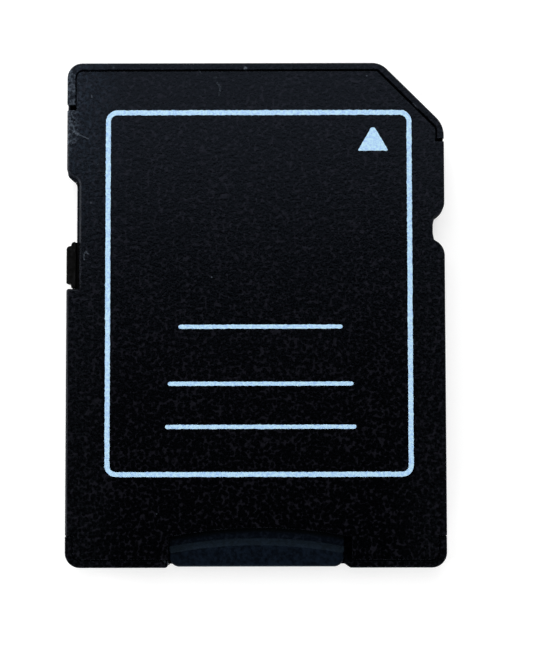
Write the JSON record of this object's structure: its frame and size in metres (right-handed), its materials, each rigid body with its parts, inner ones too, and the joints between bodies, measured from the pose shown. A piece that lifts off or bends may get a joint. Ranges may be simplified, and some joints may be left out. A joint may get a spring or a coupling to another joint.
{
  "type": "memory card adapter",
  "caption": "Thin black full-size memory card adapter with a cut corner, a write-protect slider in its side notch, gold contact terminals and a micro memory card seated in its rear slot.",
  "frame": {"origin": "centre of the underside", "axes": "+Y towards the contact end, +X towards the side with the cut corner, +Z out of the label side"},
  "size_m": [0.024, 0.032, 0.0021],
  "materials": {
    "housing": "fine spark-eroded moulding grain",
    "slider": "smooth moulded",
    "gold_plate": "gold plated",
    "micro_card": "satin moulding compound",
    "ink": "printed ink"
  },
  "bodies": {
    "housing": {"base_housing": "housing", "top_cover": "housing", "terminal_data_2": "gold_plate", "terminal_data_3": "gold_plate", "terminal_command": "gold_plate", "terminal_supply": "gold_plate", "terminal_clock": "gold_plate", "terminal_ground": "gold_plate", "terminal_data_0": "gold_plate", "terminal_data_1": "gold_plate", "printed_border": "ink", "printed_arrow": "ink", "printed_rules": "ink"},
    "slider": {"write_protect_slider": "slider"},
    "micro_card": {"micro_card_body": "micro_card", "micro_card_contacts": "gold_plate"}
  },
  "joints": [
    {"name": "lock_slide", "type": "slide", "parent": "housing", "child": "slider", "axis": [0, 1, 0], "range_m": [0, 0.0038]},
    {"name": "card_slide", "type": "slide", "parent": "housing", "child": "micro_card", "axis": [0, -1, 0], "range_m": [0, 0.0156]}
  ]
}
